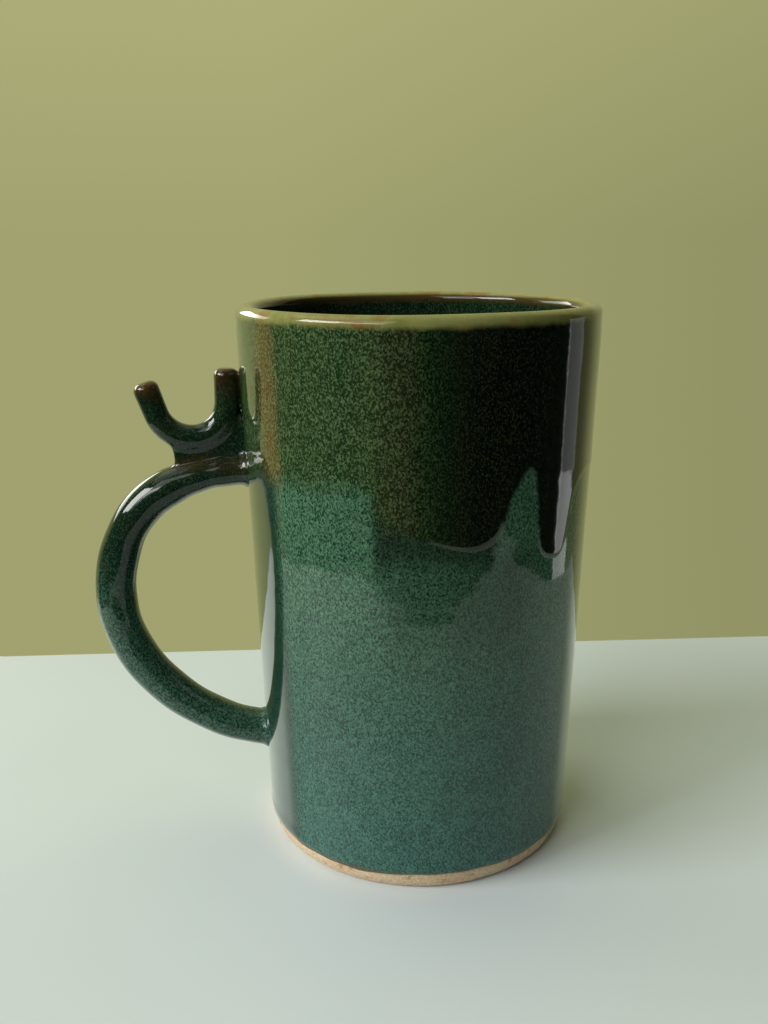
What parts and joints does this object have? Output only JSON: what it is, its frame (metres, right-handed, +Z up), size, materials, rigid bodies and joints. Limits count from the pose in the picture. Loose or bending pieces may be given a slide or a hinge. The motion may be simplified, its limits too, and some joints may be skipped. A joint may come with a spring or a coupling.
{
  "type": "ceramic mug",
  "caption": "Tall straight-sided glazed stoneware mug with a looped coil handle and a small upward-opening U-shaped cradle where the handle meets the rim end of the wall.",
  "frame": {"origin": "centre of the flat foot that the mug stands on, on the axis of the cup", "axes": "+Z up along the cup's axis; the handle and the cradle lie in the XZ plane on the -X side"},
  "size_m": [0.1197, 0.0838, 0.13],
  "materials": {
    "bare_stoneware": "matte fired clay, tan, unglazed",
    "joining_slip": "fired clay slip under the glaze",
    "teal_glaze": "glossy speckled sea-green glaze",
    "liner_glaze": "glossy dark green glaze",
    "handle_glaze": "glossy near-black green glaze, brown on the ridges",
    "dark_glaze": "glossy dark green to brown-black glaze over the teal coat"
  },
  "bodies": {
    "root": {"floor_disc": "bare_stoneware", "cup_wall": "bare_stoneware", "handle_coil": "bare_stoneware", "handle_joint_upper": "joining_slip", "handle_joint_lower": "joining_slip", "cradle_coil": "bare_stoneware", "cradle_web": "joining_slip", "glaze_outer": "teal_glaze", "glaze_liner": "liner_glaze", "glaze_handle": "handle_glaze", "glaze_dip": "dark_glaze"}
  },
  "joints": []
}
